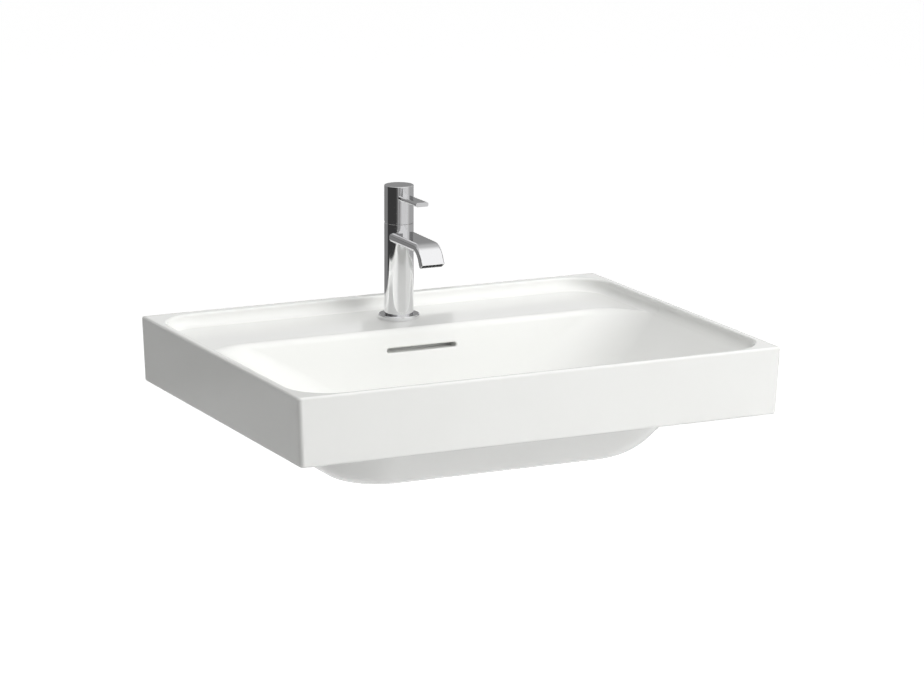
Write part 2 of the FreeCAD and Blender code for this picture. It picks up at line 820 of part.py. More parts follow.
def spout_frame():
    """Stations of the spout: centre, width, height, corner and tilt, from root to tip."""
    root_middle = d.spout_root_top.value - d.spout_root_height.value / 2
    bend_middle = d.spout_bend_top.value - d.spout_bend_height.value / 2
    stations = [(0.0, root_middle, d.spout_root_width.value, d.spout_root_height.value,
                 d.spout_root_corner.value, 0.0)]
    half_bend = (d.spout_bend_reach.value / 2, (root_middle + bend_middle) / 2,
                 (d.spout_root_width.value + d.spout_bend_width.value) / 2,
                 (d.spout_root_height.value + d.spout_bend_height.value) / 2,
                 d.spout_root_corner.value, 0.0)
    stations.append(half_bend)
    angle_end = math.radians(d.spout_tip_angle.value)
    tip_reach, tip_rise = d.spout_tip_reach.value, d.spout_tip_rise.value
    straight = d.spout_tip_straight.value
    across = tip_reach - straight * math.cos(angle_end) - d.spout_bend_reach.value
    down = bend_middle - tip_rise - straight * math.sin(angle_end)
    for index in range(SPOUT_BEND_STEPS + 1):
        share = index / SPOUT_BEND_STEPS
        tilt = angle_end * share
        reach = d.spout_bend_reach.value + across * math.sin(tilt) / math.sin(angle_end)
        rise = bend_middle - down * (1 - math.cos(tilt)) / (1 - math.cos(angle_end))
        width = d.spout_bend_width.value + share * (d.spout_tip_width.value - d.spout_bend_width.value)
        height = d.spout_bend_height.value + share * (d.spout_tip_height.value
                                                      - d.spout_bend_height.value)
        corner = d.spout_root_corner.value + share * (d.spout_tip_corner.value
                                                      - d.spout_root_corner.value)
        stations.append((reach, rise, width, height, corner, tilt))
    stations.append((tip_reach, tip_rise, width, height, corner, tilt))
    return stations


def spout_section(reach, rise, width, height, corner, tilt):
    """Rounded oblong across the spout, tilted with it."""
    outline = rounded_wire(width / 2, height / 2, -height / 2, corner, 0)
    turn = Rotation(Vector(1, 0, 0), 90 + math.degrees(tilt))
    outline.Placement = Placement(Vector(0, -reach, rise), turn)
    return outline


def make_spout():
    """Chromed brass spout: a flat hollow blade that bends down, soldered to the column."""
    stations = spout_frame()
    blade = loft([spout_section(*station) for station in stations])
    wall = d.spout_wall.value
    waterway = []
    for reach, rise, width, height, corner, tilt in stations:
        inner = max(corner - wall, wall / 2)
        waterway.append(spout_section(reach, rise, width - 2 * wall, height - 2 * wall, inner, tilt))
    reach, rise, width, height, corner, tilt = stations[-1]
    over = d.overrun.value
    beyond = (reach + over * math.cos(tilt), rise - over * math.sin(tilt))
    waterway.append(spout_section(*beyond, width - 2 * wall, height - 2 * wall, inner, tilt))
    column = Part.makeCylinder(d.tap_radius.value, d.tap_split_height.value)
    half = d.spout_spigot_width.value / 2
    tall = d.spout_spigot_height.value
    spigot = Part.makeBox(2 * half, d.tap_radius.value + over, tall,
                          Vector(-half, -d.tap_radius.value - over, stations[0][1] - tall / 2))
    inside = d.tap_radius.value - d.spout_spigot_length.value
    inner_column = Part.makeCylinder(inside, d.tap_split_height.value)
    shape = blade.cut(column.cut(spigot).fuse(inner_column)).cut(loft(waterway))
    if len(shape.Solids) != 1:
        raise RuntimeError("the spout is not one solid")
    return finished("tap_spout", shape.Solids[0], TAP)


def make_spout_insert():
    """Plastic flow straightener pressed into the spout's mouth, a row of slots."""
    wall, gap = d.spout_wall.value, d.insert_gap.value
    width = d.spout_tip_width.value - 2 * wall - 2 * gap
    height = d.spout_tip_height.value - 2 * wall - 2 * gap
    corner = max(d.spout_tip_corner.value - wall, wall / 2)
    length = d.insert_length.value
    block = Part.Face(rounded_wire(width / 2, height / 2, -height / 2, corner, 0)).extrude(
        Vector(0, 0, length))
    web = d.insert_web.value
    pitch = (width - web) / INSERT_SLOTS
    over = d.overrun.value
    for index in range(INSERT_SLOTS):
        start = -width / 2 + web + index * pitch
        block = block.cut(Part.makeBox(pitch - web, height - 2 * web, length + 2 * over,
                                       Vector(start, web - height / 2, -over)))
    tilt = math.radians(d.spout_tip_angle.value)
    back = d.insert_inset.value + length
    reach = d.spout_tip_reach.value - back * math.cos(tilt)
    rise = d.spout_tip_rise.value + back * math.sin(tilt)
    block.Placement = Placement(Vector(0, -reach, rise),
                                Rotation(Vector(1, 0, 0), 90 + d.spout_tip_angle.value))
    return finished("spout_insert", block, TAP)


# The cartridge, from the cavity floor upwards

def make_port_seals():
    """Two rubber rings under the cartridge, one at each inlet."""
    piece = Piece("port_seals", TAP)
    outer = d.port_radius + d.port_seal_wall
    for name, side in (("cold", 1), ("hot", -1)):
        at = (d.port_side * side, d.port_back, CAVITY_FLOOR)
        piece.solid("AdditiveCylinder", name + "_seal", at, Radius=outer, Height=d.port_seal_height)
        piece.hole(name + "_port", at, d.port_radius, d.port_seal_height)


def make_cartridge_plate():
    """Plastic foot of the cartridge: two inlet ports and an outlet that opens sideways."""
    piece = Piece("cartridge_plate", TAP)
    edge = d.cavity_radius - d.slip_gap
    ring(piece, "plate", ZERO, edge, PLATE, FIXED_DISC)
    groove = CAVITY_FLOOR + d.port_seal_height - PLATE
    through = d.plate_thickness + d.overrun
    for name, side in (("cold", 1), ("hot", -1)):
        x = d.port_side * side
        piece.hole(name + "_groove", (x, d.port_back, PLATE), d.port_radius + d.port_seal_wall, groove)
        piece.hole(name + "_port", (x, d.port_back, PLATE), d.port_radius, through)
    piece.hole("outlet_port", (ZERO, -d.outlet_port_forward, PLATE), d.outlet_port_radius, through)
    wide = d.outlet_port_radius
    piece.slot("outlet_way", (-wide, -d.cavity_radius, PLATE),
               (wide, -d.outlet_port_forward, PLATE + d.plate_thickness / 2))
    half = d.plate_notch_width / 2
    piece.slot("outlet_notch", (-half, -d.cavity_radius, PLATE),
               (half, -(edge - d.plate_notch_depth), FIXED_DISC))


def make_fixed_disc():
    """Ceramic disc that stays still, with the two inlets and the outlet."""
    piece = Piece("fixed_disc", TAP)
    ring(piece, "disc", ZERO, d.fixed_disc_radius, FIXED_DISC, MOVING_DISC)
    for name, side in (("cold", 1), ("hot", -1)):
        piece.hole(name + "_port", (d.port_side * side, d.port_back, FIXED_DISC), d.port_radius,
                   d.fixed_disc_thickness)
    piece.hole("outlet_port", (ZERO, -d.outlet_port_forward, FIXED_DISC), d.outlet_port_radius,
               d.fixed_disc_thickness)


def make_moving_disc():
    """Ceramic disc that slides on the fixed one and mixes the two inlets."""
    piece = Piece("moving_disc", TAP)
    ring(piece, "disc", ZERO, d.moving_disc_radius, MOVING_DISC, CARRIER)
    wide, deep = d.chamber_half_width, d.chamber_half_length
    piece.slot("mixing_chamber", (-wide, -deep, MOVING_DISC), (wide, deep, MOVING_DISC + d.chamber_depth))


def make_disc_carrier():
    """Plastic carrier on the moving disc, with the socket for the stem's ball."""
    piece = Piece("disc_carrier", TAP)
    ring(piece, "carrier", d.socket_radius, d.moving_disc_radius, CARRIER, CARRIER + d.carrier_thickness)


def make_driver():
    """Plastic driver that turns in the housing and holds the stem's pivot pin."""
    piece = Piece("driver", TAP)
    top = BODY_TOP - d.nut_gap
    piece.turned("spool", [(ZERO, DRIVER), (d.driver_foot_radius, DRIVER), (d.driver_foot_radius, NECK),
                           (d.driver_neck_radius, NECK), (d.driver_neck_radius, top), (ZERO, top)])
    half = d.stem_half_width + d.driver_slot_gap
    piece.slot("stem_slot", (-half, -d.driver_slot_front, DRIVER), (half, d.driver_slot_back, top))
    piece.hole("pin_bore", (-d.driver_neck_radius, ZERO, PIVOT), d.pin_radius, d.driver_neck_radius * 2,
               (Vector(0, 1, 0), 90))


def make_pivot_pin():
    """Steel pin on which the stem tilts."""
    piece = Piece("pivot_pin", TAP)
    piece.solid("AdditiveCylinder", "pin", (-d.pin_half_length, ZERO, PIVOT), (Vector(0, 1, 0), 90),
                Radius=d.pin_radius, Height=d.pin_half_length * 2)


def make_lever_stem():
    """Steel stem: flat bar in the handle, pivot eye, and a ball that moves the disc carrier."""
    piece = Piece("lever_stem", TAP)
    wide, deep = d.stem_half_width, d.stem_half_depth
    top = BODY_TOP + d.stem_top_height
    low = BALL + d.ball_radius + d.moving_gap
    piece.solid("AdditiveBox", "bar", (-wide, -deep, low), Length=wide * 2, Width=deep * 2,
                Height=top - low)
    piece.solid("AdditiveCylinder", "ball_neck", (ZERO, ZERO, BALL), Radius=d.ball_neck_radius,
                Height=low - BALL + d.ball_neck_radius)
    piece.solid("AdditiveSphere", "ball", (ZERO, ZERO, BALL), Radius=d.ball_radius)
    piece.hole("pivot_eye", (-wide, ZERO, PIVOT), d.pin_radius + d.pin_gap, wide * 2,
               (Vector(0, 1, 0), 90))


def make_housing():
    """Plastic cartridge housing over the discs and the driver."""
    piece = Piece("cartridge_housing", TAP)
    neck_top = SHOULDER + d.housing_neck_height
    bore = d.driver_neck_radius + d.moving_gap
    piece.turned("housing", [
        (d.housing_cavity_radius, FIXED_DISC), (d.housing_radius, FIXED_DISC),
        (d.housing_radius, SHOULDER), (d.housing_neck_radius, SHOULDER),
        (d.housing_neck_radius, neck_top), (bore, neck_top), (bore, CEILING),
        (d.housing_cavity_radius, CEILING)])


def make_bore_seal():
    """Rubber ring that closes the water space round the cartridge under the nut."""
    piece = Piece("bore_seal", TAP)
    ring(piece, "seal", d.housing_radius, d.cavity_radius, SHOULDER - d.bore_seal_height, SHOULDER)


def make_cartridge_nut():
    """Brass nut that clamps the cartridge down, slotted for its key."""
    piece = Piece("cartridge_nut", TAP)
    inner, outer = d.housing_neck_radius + d.nut_gap, d.cavity_radius - d.nut_gap
    top = SHOULDER + d.nut_height
    ring(piece, "nut", inner, outer, SHOULDER, top)
    half = d.nut_slot_width / 2
    low = top - d.nut_slot_depth
    piece.slot("side_slots", (-outer, -half, low), (outer, half, top))
    piece.slot("cross_slots", (-half, -outer, low), (half, outer, top))


# The handle

def make_handle():
    """Chromed zinc handle: a round cap as wide as the column, with a flat lever to the front."""
    piece = Piece("handle", TAP)
    edge = d.cap_edge_chamfer
    roof = BODY_TOP + d.cap_cavity_height
    piece.turned("cap", [
        (d.cap_cavity_radius, CAP), (d.tap_radius, CAP), (d.tap_radius, CAP_TOP - edge),
        (d.tap_radius - edge, CAP_TOP), (ZERO, CAP_TOP), (ZERO, roof), (d.cap_cavity_radius, roof)])
    half, thick = d.lever_width / 2, d.lever_thickness
    top = CAP_TOP - d.lever_drop
    blade = piece.solid("AdditiveBox", "lever", (-half, -d.lever_reach, top - thick),
                        Length=d.lever_width, Width=d.lever_reach - d.lever_root, Height=thick)
    tip = -d.lever_reach.value
    round_edges(piece, blade, "lever_edges", d.lever_edge_radius, lambda box: (
        box.YMax - box.YMin > SAME_PLACE and abs(box.YMin - tip) < SAME_PLACE))
    stem_x, stem_y = d.stem_half_width + d.stem_gap, d.stem_half_depth + d.stem_gap
    piece.slot("stem_socket", (-stem_x, -stem_y, roof - d.overrun),
               (stem_x, stem_y, BODY_TOP + d.stem_top_height + d.overrun))
    piece.hole("grub_thread", (ZERO, d.tap_radius + d.overrun, BODY_TOP + d.grub_height), d.grub_radius,
               d.tap_radius + d.overrun - d.stem_half_depth, (Vector(1, 0, 0), 90))
    drop = as_size(math.tan(math.radians(d.relief_angle.value)))
    drop.text = "tan(sheet.relief_angle * 1 deg)"
    start = -d.relief_start
    rear = d.tap_radius + d.overrun
    below = CAP - d.overrun
    piece.extruded("tilt_relief", "YZ_Plane", [
        (start, CAP), (start, below), (rear, below), (rear, CAP + (rear - start) * drop)],
        d.tap_radius * 2 + d.overrun, "Pocket")


def make_handle_screw():
    """Steel grub screw that clamps the handle to the stem, from behind."""
    piece = Piece("handle_screw", TAP)
    height = BODY_TOP + d.grub_height
    turn = (Vector(1, 0, 0), -90)
    piece.solid("AdditiveCylinder", "screw", (ZERO, d.stem_half_depth, height), turn,
                Radius=d.grub_radius - d.thread_gap, Height=d.grub_length)
    piece.solid("SubtractivePrism", "hex_socket",
                (ZERO, d.stem_half_depth + d.grub_length - d.grub_hex_depth, height), turn,
                Circumradius=d.grub_hex_radius, Height=d.grub_hex_depth)


def make_screw_plug():
    """Small plug that hides the grub screw."""
    piece = Piece("screw_plug", TAP)
    inset = d.tap_radius - d.slip_gap
    piece.solid("AdditiveCylinder", "plug",
                (ZERO, inset - d.plug_button_length, BODY_TOP + d.grub_height), (Vector(1, 0, 0), -90),
                Radius=d.grub_radius - d.thread_gap, Height=d.plug_button_length)


# The tap's fixing under the ledge

def make_fixing_stud():
    """Threaded steel stud from the column down through the tap hole."""
    piece = Piece("fixing_stud", TAP)
    top = SPIGOT + d.inlet_depth - d.slip_gap
    piece.solid("AdditiveCylinder", "stud", (ZERO, -d.stud_forward, -d.stud_below),
                Radius=d.stud_radius - d.thread_gap, Height=top + d.stud_below)


def clamp_plate(label, low, thickness):
    """Round plate with an open slot for the hoses and a hole for the stud."""
    piece = Piece(label, TAP)
    ring(piece, "plate", ZERO, d.clamp_radius, low, low + thickness)
    half = d.clamp_slot_half_width
    piece.slot("hose_slot", (-half, -d.clamp_slot_front, low),
               (half, d.clamp_radius + d.overrun, low + thickness))
    piece.hole("stud_hole", (ZERO, -d.stud_forward, low), d.stud_radius + d.stud_hole_gap, thickness)


def make_clamp_stack():
    """Rubber pad and steel plate that clamp the tap from below."""
    clamp_plate("clamp_pad", UNDER_DECK - d.pad_thickness, d.pad_thickness)
    clamp_plate("clamp_plate", UNDER_DECK - d.pad_thickness - d.clamp_thickness, d.clamp_thickness)


def hex_nut(label, origin, at, circumradius, height, bore):
    """Six-sided nut with a plain bore at its thread's size."""
    piece = Piece(label, origin)
    piece.solid("AdditivePrism", "hexagon", at, Circumradius=circumradius, Height=height)
    piece.hole("thread", at, bore, height)
    return piece


def make_clamp_nut():
    """Nut on the stud."""
    low = UNDER_DECK - d.pad_thickness - d.clamp_thickness - d.clamp_nut_height
    hex_nut("clamp_nut", TAP, (ZERO, -d.stud_forward, low), d.clamp_nut_radius, d.clamp_nut_height,
            d.stud_radius)


# The waste, its top level with the bowl's floor

def make_flange_seal():
    """Rubber ring between the waste's flange and its seat in the bowl."""
    piece = Piece("flange_seal", WASTE)
    low = -d.waste_seat_depth
    ring(piece, "seal", d.waste_hole_radius, d.flange_radius, low, low + d.flange_seal_thickness)


def make_waste_body():
    """Chromed brass waste: flange, threaded tube, overflow windows, and a tail for the trap."""
    piece = Piece("waste_body", WASTE)
    under = -d.flange_thickness
    round_by = d.plug_round
    groove = d.waste_tube_radius - d.tail_groove_depth
    piece.turned("tube", [
        (d.waste_bore_radius, WASTE_END), (d.waste_tube_radius, WASTE_END),
        (d.waste_tube_radius, TAIL), (groove, TAIL), (groove, BACKNUT),
        (d.waste_tube_radius, BACKNUT), (d.waste_tube_radius, under),
        (d.flange_radius, under), (d.flange_radius, -round_by), (d.flange_radius - round_by, ZERO),
        (d.waste_bore_radius + round_by, ZERO), (d.waste_bore_radius, -round_by)])
    half = d.window_width / 2
    high = -d.window_depth
    reach = d.waste_tube_radius + d.overrun
    for name, low_corner, high_corner in (
            ("side_windows", (-reach, -half, high - d.window_height), (reach, half, high)),
            ("fore_windows", (-half, -reach, high - d.window_height), (half, reach, high))):
        piece.slot(name, low_corner, high_corner)


def make_lower_seal():
    """Rubber washer under the bowl."""
    piece = Piece("lower_seal", WASTE)
    ring(piece, "seal", d.waste_tube_radius + d.waste_slip, d.lower_seal_radius,
         CERAMIC_BASE - d.lower_seal_thickness, CERAMIC_BASE)


def make_waste_nut():
    """Brass backnut that pulls the waste down onto its seals."""
    hex_nut("waste_nut", WASTE, (ZERO, ZERO, BACKNUT), d.backnut_radius, d.backnut_height,
            d.waste_tube_radius + d.thread_gap)


def make_click_hub():
    """Plastic hub in the waste's tube: it guides the plug's stem and holds spring and latch."""
    piece = Piece("click_hub", WASTE)
    low, top = -d.hub_bottom_depth, -d.hub_top_depth
    lip = d.plug_stem_radius + d.moving_gap
    piece.turned("hub", [
        (ZERO, low), (d.hub_radius, low), (d.hub_radius, top), (lip, top), (lip, top - d.hub_wall),
        (d.hub_bore_radius, top - d.hub_wall), (d.hub_bore_radius, HUB_FLOOR), (ZERO, HUB_FLOOR)])
    rib_low = low + d.rib_lift
    half = d.rib_width / 2
    middle = (d.hub_bore_radius + d.hub_radius) / 2
    for index in range(RIB_COUNT):
        angle = 360 * index / RIB_COUNT
        turn = Rotation(Vector(0, 0, 1), angle)
        across = turn.multVec(Vector(0, 1, 0))
        out = turn.multVec(Vector(1, 0, 0))
        at = (middle * out.x - half * across.x, middle * out.y - half * across.y, rib_low)
        piece.solid("AdditiveBox", "rib_%d" % index, at, (Vector(0, 0, 1), angle),
                    Length=d.waste_bore_radius - d.rib_ring_wall / 2 - middle, Width=d.rib_width,
                    Height=d.rib_height)
    ring(piece, "rim", d.waste_bore_radius - d.rib_ring_wall, d.waste_bore_radius, rib_low,
         rib_low + d.rib_height)


def make_plug_cap():
    """Chromed plug, slightly crowned, that closes on its own seal."""
    piece = Piece("plug_cap", WASTE)
    low = d.plug_lift
    edge = low + d.plug_edge_height
    inner, outer = d.plug_seal_inner_radius, d.plug_seal_outer_radius
    groove = d.plug_seal_height
    piece.turned("cap", [
        (ZERO, low), (inner, low), (inner, groove), (outer, groove), (outer, low),
        (d.plug_radius, low), (d.plug_radius, edge - d.plug_round),
        (d.plug_radius - d.plug_round, edge), (d.plug_radius / 2, edge + d.plug_crown * CROWN_SHARE),
        (ZERO, edge + d.plug_crown)])
    piece.hole("stem_thread", (ZERO, ZERO, low), d.plug_stem_radius, d.plug_stem_grip)


def make_plug_seal():
    """Rubber ring in the plug's underside."""
    piece = Piece("plug_seal", WASTE)
    ring(piece, "seal", d.plug_seal_inner_radius, d.plug_seal_outer_radius, ZERO, d.plug_seal_height)


def make_plug_stem():
    """Brass stem screwed into the plug, with the collar that the spring lifts."""
    piece = Piece("plug_stem", WASTE)
    top = d.plug_lift + d.plug_stem_grip
    radius = d.plug_stem_radius - d.thread_gap
    piece.turned("stem", [(ZERO, COLLAR), (d.collar_radius, COLLAR), (d.collar_radius, COLLAR_TOP),
                          (radius, COLLAR_TOP), (radius, top), (ZERO, top)])


def biarc(start, start_way, end, end_way):
    """Two tangent arcs from one point and direction to another."""
    gap = end - start
    ways = start_way + end_way
    square = 2 * (start_way.dot(end_way) - 1)
    linear = -2 * gap.dot(ways)
    root = math.sqrt(linear ** 2 - 4 * square * gap.dot(gap))
    reach = (-linear - root) / (2 * square)
    first, second = start + start_way * reach, end - end_way * reach
    middle = (first + second) * 0.5
    return [tangent_arc(start, first, middle), tangent_arc(middle, second, end)]


def tangent_arc(start, corner, end):
    """The arc from start to end that touches both lines to the corner."""
    half = (end - start).Length / 2
    middle = (start + end) * 0.5
    bend = math.acos(half / (corner - start).Length)
    rise = half * math.tan(bend / 2)
    way = corner - middle
    way.normalize()
    return Part.Arc(start, middle + way * rise, end).toShape()


def make_plug_spring():
    """Steel coil spring between the hub's floor and the stem's collar."""
    wire, radius = d.spring_wire_radius.value, d.spring_radius.value
    low = HUB_FLOOR.value + wire
    rise = COLLAR.value - wire - low
    quarter = 4
    count = SPRING_TURNS * quarter
    edges = []
    points = []
    for index in range(count + 1):
        angle = 2 * math.pi * index / quarter
        place = Vector(radius * math.cos(angle), radius * math.sin(angle), low + rise * index / count)
        way = Vector(-radius * math.sin(angle), radius * math.cos(angle),
                     rise / (2 * math.pi * SPRING_TURNS))
        way.normalize()
        points.append((place, way))
    for (start, start_way), (end, end_way) in zip(points, points[1:]):
        edges += biarc(start, start_way, end, end_way)
    path = Part.Wire(edges)
    section = Part.Wire(Part.Circle(points[0][0], points[0][1], wire).toShape())
    coil = path.makePipeShell([section], True, False)
    gap = rise / SPRING_TURNS - 2 * wire
    print("spring: gap between turns %.2f mm, volume %.1f of %.1f mm3"
          % (gap, coil.Volume, math.pi * wire ** 2 * path.Length))
    return finished("plug_spring", coil, WASTE)


def build():
    """Makes every sub-part."""
    make_basin()
    make_base_seal()
    make_base_ring()
    make_tap_body()
    make_spout()
    make_spout_insert()
    make_port_seals()
    make_cartridge_plate()
    make_fixed_disc()
    make_moving_disc()
    make_disc_carrier()
    make_driver()
    make_pivot_pin()
    make_lever_stem()
    make_housing()
    make_bore_seal()
    make_cartridge_nut()
    make_handle()
    make_handle_screw()
    make_screw_plug()
    make_fixing_stud()
    make_clamp_stack()
    make_clamp_nut()
    make_flange_seal()
    make_waste_body()
    make_lower_seal()
    make_waste_nut()
    make_click_hub()
    make_plug_cap()
    make_plug_seal()
    make_plug_stem()
    make_plug_spring()


def check_document():
    """Stops unless every object and every sub-part's shape is sound."""
    for item in doc.Objects:
        if "Invalid" in item.State or "Error" in item.State:
            raise RuntimeError("%s: %s" % (item.Label, item.State))
    for item in SUBPARTS:
        if item.Shape.isNull() or not item.Shape.isValid() or not item.Shape.Solids:
            raise RuntimeError("%s has no sound shape" % item.Label)


build()
doc.recompute()
check_document()
for subpart in SUBPARTS:
    print("%-20s %2d solid(s) %12.1f mm3" % (subpart.Label, len(subpart.Shape.Solids),
                                             subpart.Shape.Volume))
    subpart.Shape.exportStep("parts/%s.step" % subpart.Label)
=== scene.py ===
import math

import bmesh
import bpy
import numpy as np
from mathutils import Matrix, Vector


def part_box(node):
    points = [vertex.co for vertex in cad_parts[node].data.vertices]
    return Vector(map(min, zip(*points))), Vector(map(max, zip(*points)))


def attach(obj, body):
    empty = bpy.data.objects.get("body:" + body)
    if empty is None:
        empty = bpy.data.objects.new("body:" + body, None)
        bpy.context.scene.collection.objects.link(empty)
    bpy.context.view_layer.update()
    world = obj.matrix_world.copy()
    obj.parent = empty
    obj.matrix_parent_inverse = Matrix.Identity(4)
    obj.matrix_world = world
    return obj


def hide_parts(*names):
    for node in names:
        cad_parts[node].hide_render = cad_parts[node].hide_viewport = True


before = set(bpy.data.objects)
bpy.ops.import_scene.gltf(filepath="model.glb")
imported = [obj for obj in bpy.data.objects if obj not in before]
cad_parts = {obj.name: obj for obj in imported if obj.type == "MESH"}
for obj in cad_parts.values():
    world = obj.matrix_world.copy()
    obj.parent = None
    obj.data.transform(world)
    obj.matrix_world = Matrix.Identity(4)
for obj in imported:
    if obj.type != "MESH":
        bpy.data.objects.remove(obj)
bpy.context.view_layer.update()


# View: the photographer stood to the left of the basin, 4.7 m away, looking slightly down.
# Distance, bearing and lens are those at which the block's corners fall where the photograph has them.
LOOKED_AT = Vector((0.0069, -0.2296, 0.0434))
BEARING, HEIGHT_ANGLE, ROLL = math.radians(-25.84), math.radians(12.71), math.radians(0.20)
VIEW_DISTANCE = 4.684
FOCAL_PIXELS = 4042.0
PHOTO_WIDTH_PIXELS = 924
SENSOR_MM = 36.0
NEAREST, FARTHEST = 0.1, 100.0
towards_camera = Vector((math.sin(BEARING) * math.cos(HEIGHT_ANGLE),
                         -math.cos(BEARING) * math.cos(HEIGHT_ANGLE),
                         math.sin(HEIGHT_ANGLE)))
lens = bpy.data.cameras.new("view")
lens.sensor_width = SENSOR_MM
lens.lens = FOCAL_PIXELS * SENSOR_MM / PHOTO_WIDTH_PIXELS
lens.clip_start, lens.clip_end = NEAREST, FARTHEST
camera = bpy.data.objects.new("view", lens)
camera.location = LOOKED_AT + towards_camera * VIEW_DISTANCE
camera.rotation_mode = "QUATERNION"
camera.rotation_quaternion = ((-towards_camera).to_track_quat("-Z", "Y")
                              @ Matrix.Rotation(ROLL, 3, "Z").to_quaternion())
bpy.context.scene.collection.objects.link(camera)
bpy.context.scene.camera = camera
bpy.context.scene.view_settings.view_transform = "Standard"


# Room: a pale floor 0.79 m under the basin's wall bolts and a plain white surround, as in a studio.
# The camera sees both as white. Metal mirrors them dimmer, and mirrors dark and grey cards that stand
# round the basin and a white ceiling over it. Cards and ceiling show in nothing but mirrored rays.
FLOOR_LEVEL = -0.79
FLOOR_REACH = 30.0
FLOOR_GREY = (0.80, 0.80, 0.80, 1)
FLOOR_ROUGHNESS = 0.9
FLOOR_TO_CAMERA = 0.85
AIR_TO_CAMERA, AIR_IN_METAL, AIR_AS_LIGHT = 1.0, 0.72, 0.12
WHITE = (1, 1, 1, 1)


def seen_by_metal(nodes, links, to_camera, to_metal, otherwise):
    """A strength that is one number to the camera and clear rays, one to glossy rays, one to light."""
    path = nodes.new("ShaderNodeLightPath")
    clear = nodes.new("ShaderNodeMath")
    clear.operation = "MAXIMUM"
    links.new(path.outputs["Is Camera Ray"], clear.inputs[0])
    links.new(path.outputs["Is Transmission Ray"], clear.inputs[1])
    strength = otherwise
    for ray, level in ((path.outputs["Is Glossy Ray"], to_metal), (clear.outputs[0], to_camera)):
        mix = nodes.new("ShaderNodeMix")
        links.new(ray, mix.inputs["Factor"])
        for socket, value in ((mix.inputs["A"], strength), (mix.inputs["B"], level)):
            if isinstance(value, float):
                socket.default_value = value
            else:
                links.new(value, socket)
        strength = mix.outputs["Result"]
    return strength


def ramp(nodes, links, axis, first, second):
    """A grey that runs softly along an axis of the room between two (place, grey)s."""
    where = nodes.new("ShaderNodeSeparateXYZ")
    links.new(nodes.new("ShaderNodeTexCoord").outputs["Object"], where.inputs[0])
    run = nodes.new("ShaderNodeMapRange")
    run.interpolation_type = "SMOOTHSTEP"
    for socket, level in zip(("From Min", "To Min", "From Max", "To Max"), (*first, *second)):
        run.inputs[socket].default_value = level
    links.new(where.outputs[axis], run.inputs["Value"])
    return run.outputs["Result"]


world = bpy.data.worlds.new("white_room")
world.use_nodes = True
nodes, links = world.node_tree.nodes, world.node_tree.links
nodes.clear()
air = nodes.new("ShaderNodeBackground")
air.inputs["Color"].default_value = WHITE
links.new(seen_by_metal(nodes, links, AIR_TO_CAMERA, AIR_IN_METAL, AIR_AS_LIGHT), air.inputs["Strength"])
out = nodes.new("ShaderNodeOutputWorld")
links.new(air.outputs[0], out.inputs["Surface"])
bpy.context.scene.world = world


def flat_sheet(name, corners):
    """A four-cornered sheet of the room."""
    mesh = bpy.data.meshes.new(name)
    mesh.from_pydata(corners, [], [(0, 1, 2, 3)])
    sheet = bpy.data.objects.new(name, mesh)
    bpy.context.scene.collection.objects.link(sheet)
    return sheet


def level_sheet(name, left, right, front, back, height):
    """A level sheet that faces up, at a height."""
    return flat_sheet(name, [(left, front, height), (right, front, height),
                             (right, back, height), (left, back, height)])


floor = level_sheet("floor", -FLOOR_REACH, FLOOR_REACH, -FLOOR_REACH, FLOOR_REACH, FLOOR_LEVEL)
floor_paint = bpy.data.materials.new("pale_floor")
floor_paint.use_nodes = True
nodes, links = floor_paint.node_tree.nodes, floor_paint.node_tree.links
shader = nodes["Principled BSDF"]
shader.inputs["Base Color"].default_value = FLOOR_GREY
shader.inputs["Roughness"].default_value = FLOOR_ROUGHNESS
shader.inputs["Emission Color"].default_value = WHITE
floor_in_metal = ramp(nodes, links, "X", first=(-2.2, 0.0), second=(0.2, 0.45))
floor_strength = seen_by_metal(nodes, links, FLOOR_TO_CAMERA, floor_in_metal, 0.0)
links.new(floor_strength, shader.inputs["Emission Strength"])
floor.data.materials.append(floor_paint)


def paint_card(sheet, axis, first, second):
    """Makes a sheet a card of the room: its grey runs along an axis between two (place, grey)s."""
    paint = bpy.data.materials.new(sheet.name)
    paint.use_nodes = True
    nodes, links = paint.node_tree.nodes, paint.node_tree.links
    nodes.clear()
    glow = nodes.new("ShaderNodeEmission")
    glow.inputs["Color"].default_value = WHITE
    links.new(ramp(nodes, links, axis, first, second), glow.inputs["Strength"])
    out = nodes.new("ShaderNodeOutputMaterial")
    links.new(glow.outputs[0], out.inputs["Surface"])
    sheet.data.materials.append(paint)
    sheet.visible_camera = sheet.visible_diffuse = sheet.visible_shadow = False
    sheet.visible_transmission = False


def upright_card(name, start, end, low, high, axis, first, second):
    """An upright card between two places on the floor plan and two heights."""
    sheet = flat_sheet(name, [(*start, low), (*end, low), (*end, high), (*start, high)])
    paint_card(sheet, axis, first, second)


LEFT, RIGHT, BACK = -2.2, 2.4, 2.6
FLAG_START, FLAG_END = -7.0, 1.36
RIGHT_START, BACK_END = -2.8, 0.6
SEAM, TOP = 0.25, 1.0
upright_card("dark_flag_left", start=(LEFT, FLAG_START), end=(LEFT, FLAG_END),
             low=FLOOR_LEVEL, high=SEAM, axis="Y", first=(-6.4, 0.66), second=(-1.9, 0.042))
upright_card("soft_flag_left", start=(LEFT, FLAG_START), end=(LEFT, BACK),
             low=SEAM, high=TOP, axis="Y", first=(-4.0, 0.60), second=(0.0, 0.035))
upright_card("grey_card_left", start=(LEFT, FLAG_END), end=(LEFT, BACK),
             low=FLOOR_LEVEL, high=SEAM, axis="Y", first=(FLAG_END, 0.19), second=(BACK, 0.22))
upright_card("grey_card_back", start=(LEFT, BACK), end=(RIGHT, BACK),
             low=FLOOR_LEVEL, high=SEAM, axis="X", first=(LEFT, 0.20), second=(RIGHT, 0.30))
